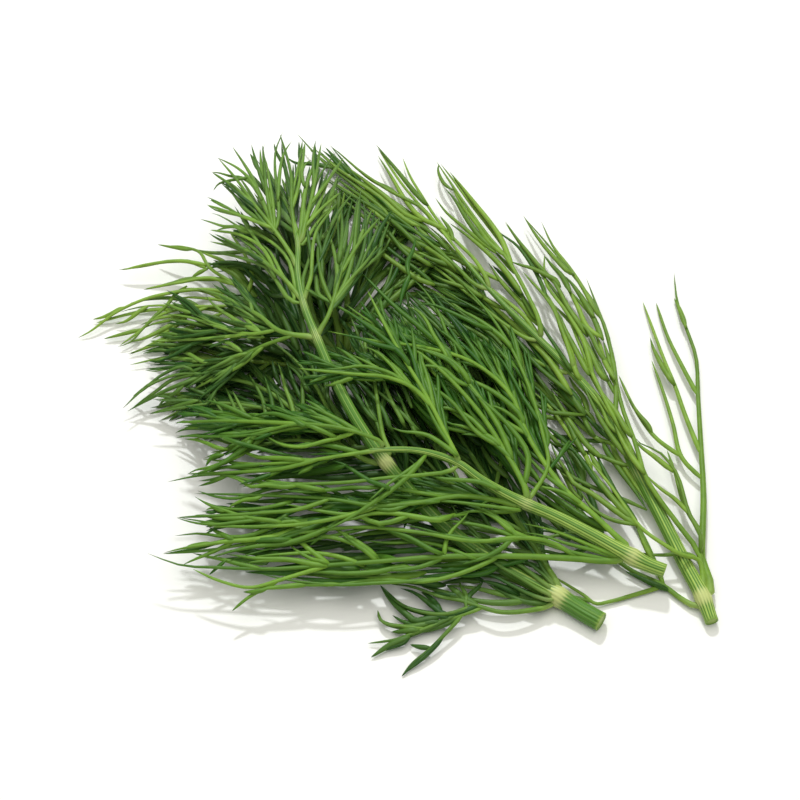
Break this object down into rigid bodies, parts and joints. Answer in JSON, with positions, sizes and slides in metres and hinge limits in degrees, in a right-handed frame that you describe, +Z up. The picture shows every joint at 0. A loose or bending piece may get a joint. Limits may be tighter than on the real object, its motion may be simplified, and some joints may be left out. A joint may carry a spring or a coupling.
{
  "type": "dill bunch",
  "caption": "Loose bunch of fresh dill lying flat: cut ribbed stalks side by side at one corner, with fine feathery leaves fanned out to the far side.",
  "frame": {"origin": "middle of the footprint of the bunch, on the surface it lies on", "axes": "+Z up from the surface, +Y away from the cut ends towards the leaf tips, +X towards the side where the cut ends lie"},
  "size_m": [0.1288, 0.1329, 0.0195],
  "materials": {
    "ribbed_stalk": "satin",
    "fresh_leaf": "satin",
    "bright_leaf": "satin",
    "deep_leaf": "satin"
  },
  "bodies": {
    "root": {"right_frond_stalk": "ribbed_stalk", "middle_frond_stalk": "ribbed_stalk", "front_frond_stalk": "ribbed_stalk", "back_frond_stalk": "ribbed_stalk", "right_frond_right_leaf_1_outer": "fresh_leaf", "right_frond_right_leaf_1_inner": "fresh_leaf", "right_frond_right_leaf_1_low": "fresh_leaf", "right_frond_left_leaf_1": "fresh_leaf", "right_frond_right_leaf_2": "fresh_leaf", "right_frond_left_leaf_2": "fresh_leaf", "right_frond_right_leaf_3": "fresh_leaf", "right_frond_left_leaf_3": "fresh_leaf", "right_frond_right_leaf_4": "fresh_leaf", "right_frond_left_leaf_4": "fresh_leaf", "right_frond_right_leaf_5": "fresh_leaf", "right_frond_left_leaf_5": "fresh_leaf", "right_frond_tip_leaf": "fresh_leaf", "middle_frond_right_leaf_1_long": "bright_leaf", "middle_frond_right_leaf_1_short": "bright_leaf", "middle_frond_left_leaf_1": "bright_leaf", "middle_frond_right_leaf_2": "bright_leaf", "middle_frond_left_leaf_2": "bright_leaf", "middle_frond_right_leaf_3": "bright_leaf", "middle_frond_left_leaf_3": "bright_leaf", "middle_frond_right_leaf_4": "bright_leaf", "middle_frond_tip_leaf": "bright_leaf", "front_frond_left_leaf_1": "deep_leaf", "front_frond_right_leaf_1": "deep_leaf", "front_frond_left_leaf_2": "deep_leaf", "front_frond_right_leaf_2": "deep_leaf", "front_frond_left_leaf_3": "deep_leaf", "front_frond_right_leaf_3": "deep_leaf", "front_frond_left_leaf_4": "deep_leaf", "front_frond_right_leaf_4": "deep_leaf", "front_frond_left_leaf_5": "deep_leaf", "front_frond_right_leaf_5": "deep_leaf", "front_frond_tip_leaf": "deep_leaf", "back_frond_right_leaf_1": "fresh_leaf", "back_frond_left_leaf_1": "fresh_leaf", "back_frond_right_leaf_2": "fresh_leaf", "back_frond_left_leaf_2": "fresh_leaf", "back_frond_tip_leaf": "fresh_leaf"}
  },
  "joints": []
}
